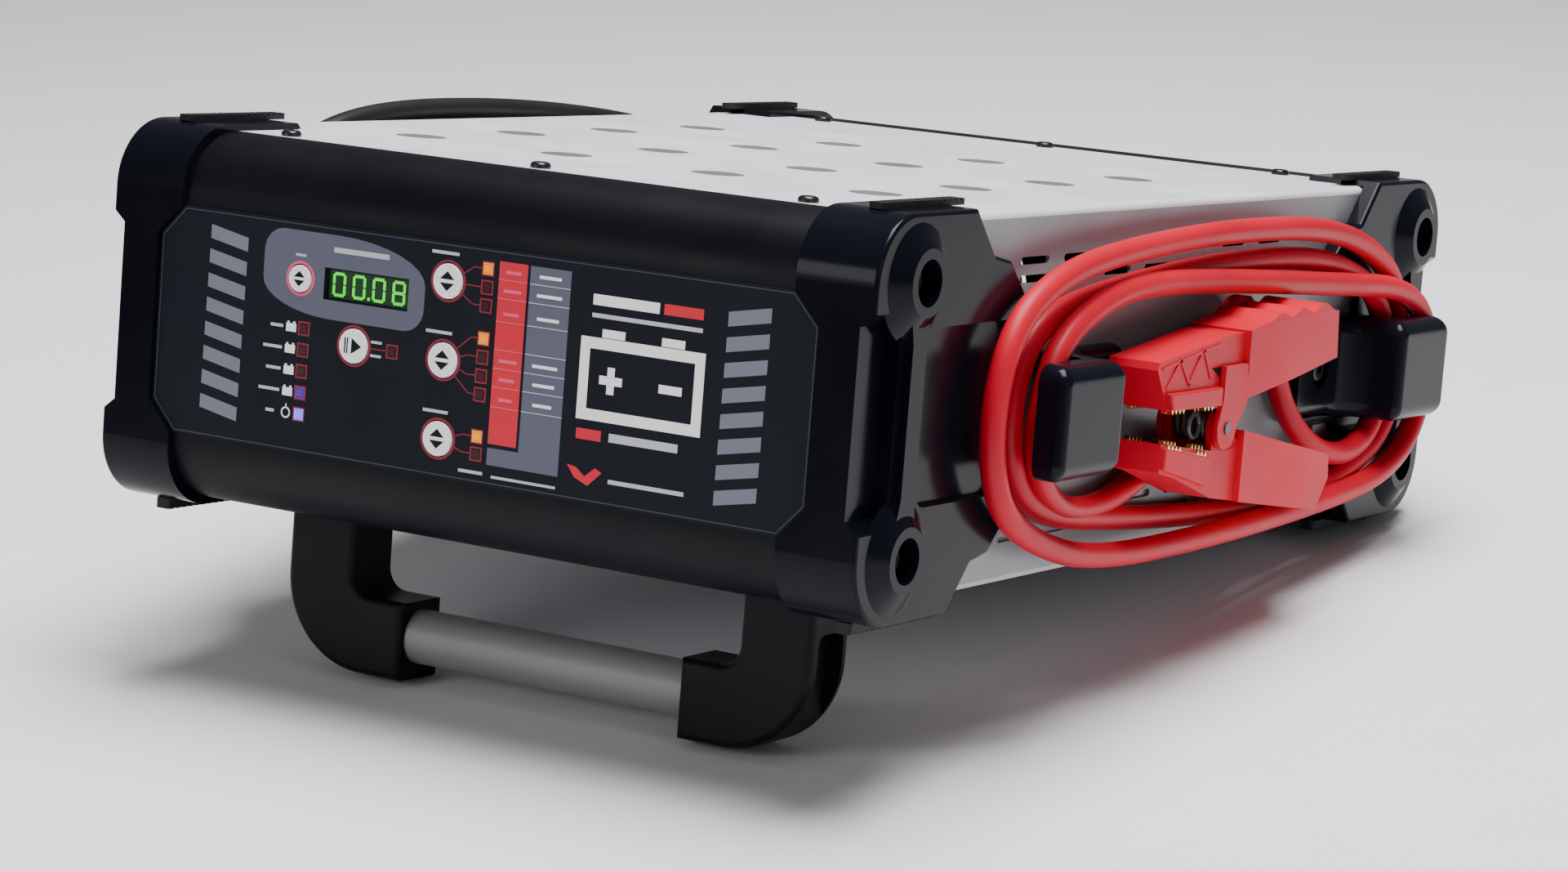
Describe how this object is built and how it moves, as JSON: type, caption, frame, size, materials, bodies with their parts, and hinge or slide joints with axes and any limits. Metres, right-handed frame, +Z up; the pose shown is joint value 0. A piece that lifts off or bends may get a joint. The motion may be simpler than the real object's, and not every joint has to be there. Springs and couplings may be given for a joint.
{
  "type": "battery charger",
  "caption": "Portable car battery charger: steel case with corner guards, key panel, folding stand handle and two clamp leads wound on side hooks.",
  "frame": {"origin": "bottom centre of the charger without its leads, as it stands", "axes": "+X to the right seen from the front, +Y back from the front panel, +Z up; the case leans back on its unfolded handle"},
  "size_m": [0.4098, 0.5156, 0.2242],
  "materials": {
    "case_black": "satin",
    "panel_print": "satin",
    "display_glass": "gloss",
    "display_black": "matt",
    "led_lens": "gloss",
    "board_green": "satin",
    "cover_grey": "satin",
    "tray_grey": "satin",
    "screw_black": "gloss",
    "rail_rubber": "matt",
    "tube_grey": "satin",
    "bracket_steel": "satin",
    "pin_steel": "satin",
    "ferrite": "satin",
    "heatsink_alu": "satin",
    "capacitor_sleeve": "satin",
    "fan_black": "satin",
    "fitting_black": "satin",
    "rocker_black": "gloss",
    "contact_brass": "satin",
    "spring_steel": "satin",
    "key_white": "satin",
    "guard_black": "gloss",
    "hook_black": "gloss",
    "handle_black": "satin",
    "red_lead": "satin",
    "black_lead": "satin",
    "red_clamp": "satin",
    "black_clamp": "satin"
  },
  "bodies": {
    "case": {"black_clamp_upper": "black_clamp", "black_lead_coil": "black_lead", "black_lead_from_outlet": "black_lead", "black_lead_outlet": "fitting_black", "black_lead_to_clamp": "black_lead", "bottom_tray": "tray_grey", "capacitors": "capacitor_sleeve", "case_screws": "screw_black", "clamp_pins": "pin_steel", "clamp_springs": "spring_steel", "clamp_upper_teeth": "contact_brass", "control_board": "board_green", "display_module": "display_black", "display_window": "display_glass", "fan_frame": "fan_black", "feet": "rail_rubber", "front_frame": "case_black", "fuse_holder": "fitting_black", "guard_bolts": "screw_black", "guard_front_left": "guard_black", "guard_front_right": "guard_black", "guard_rear_left": "guard_black", "guard_rear_right": "guard_black", "handle_brackets": "bracket_steel", "handle_pins": "pin_steel", "heatsink": "heatsink_alu", "hook_front_left": "hook_black", "hook_front_right": "hook_black", "hook_rear_left": "hook_black", "hook_rear_right": "hook_black", "hook_screws": "screw_black", "led_lenses": "led_lens", "mains_inlet": "fitting_black", "overlay_panel": "panel_print", "power_board": "board_green", "rear_frame": "case_black", "red_clamp_upper": "red_clamp", "red_lead_coil": "red_lead", "red_lead_from_outlet": "red_lead", "red_lead_outlet": "fitting_black", "red_lead_to_clamp": "red_lead", "switch_housing": "fitting_black", "top_cover": "cover_grey", "top_rails": "rail_rubber", "transformer": "ferrite"},
    "handle": {"handle_arm_left": "handle_black", "handle_arm_right": "handle_black", "handle_tube": "tube_grey"},
    "fan_rotor": {"fan_rotor": "fan_black"},
    "power_rocker": {"power_rocker": "rocker_black"},
    "red_jaw": {"red_clamp_lower": "red_clamp", "red_clamp_lower_teeth": "contact_brass"},
    "black_jaw": {"black_clamp_lower": "black_clamp", "black_clamp_lower_teeth": "contact_brass"},
    "key_meter": {"key_meter": "key_white"},
    "key_voltage": {"key_voltage": "key_white"},
    "key_current": {"key_current": "key_white"},
    "key_function": {"key_function": "key_white"},
    "key_start": {"key_start": "key_white"}
  },
  "joints": [
    {"name": "handle_fold", "type": "hinge", "parent": "case", "child": "handle", "pos_m": [0, -0.18485, 0.08424], "axis": [1, 0, 0], "range_deg": [0, 90]},
    {"name": "rocker_tip", "type": "hinge", "parent": "case", "child": "power_rocker", "pos_m": [0.095, 0.23918, 0.05269], "axis": [1, 0, 0], "range_deg": [-24, 0]},
    {"name": "fan_spin", "type": "hinge", "parent": "case", "child": "fan_rotor", "pos_m": [-0.055, 0.23188, 0.07807], "axis": [0, 0.9888, -0.149], "continuous": true},
    {"name": "red_clamp_open", "type": "hinge", "parent": "case", "child": "red_jaw", "pos_m": [0.1908, -0.0223, 0.10262], "axis": [1, 0, 0], "range_deg": [0, 20], "stiffness_Nm_per_rad": 2, "springref_deg": -14.32},
    {"name": "black_clamp_open", "type": "hinge", "parent": "case", "child": "black_jaw", "pos_m": [-0.1908, -0.0223, 0.10262], "axis": [1, 0, 0], "range_deg": [0, 20], "stiffness_Nm_per_rad": 2, "springref_deg": -14.32},
    {"name": "key_meter_press", "type": "slide", "parent": "case", "child": "key_meter", "axis": [0, 0.9888, -0.149], "range_m": [0, 0.0008], "stiffness_N_per_m": 600, "springref_m": -0.0006},
    {"name": "key_voltage_press", "type": "slide", "parent": "case", "child": "key_voltage", "axis": [0, 0.9888, -0.149], "range_m": [0, 0.0008], "stiffness_N_per_m": 600, "springref_m": -0.0006},
    {"name": "key_current_press", "type": "slide", "parent": "case", "child": "key_current", "axis": [0, 0.9888, -0.149], "range_m": [0, 0.0008], "stiffness_N_per_m": 600, "springref_m": -0.0006},
    {"name": "key_function_press", "type": "slide", "parent": "case", "child": "key_function", "axis": [0, 0.9888, -0.149], "range_m": [0, 0.0008], "stiffness_N_per_m": 600, "springref_m": -0.0006},
    {"name": "key_start_press", "type": "slide", "parent": "case", "child": "key_start", "axis": [0, 0.9888, -0.149], "range_m": [0, 0.0008], "stiffness_N_per_m": 600, "springref_m": -0.0006}
  ]
}
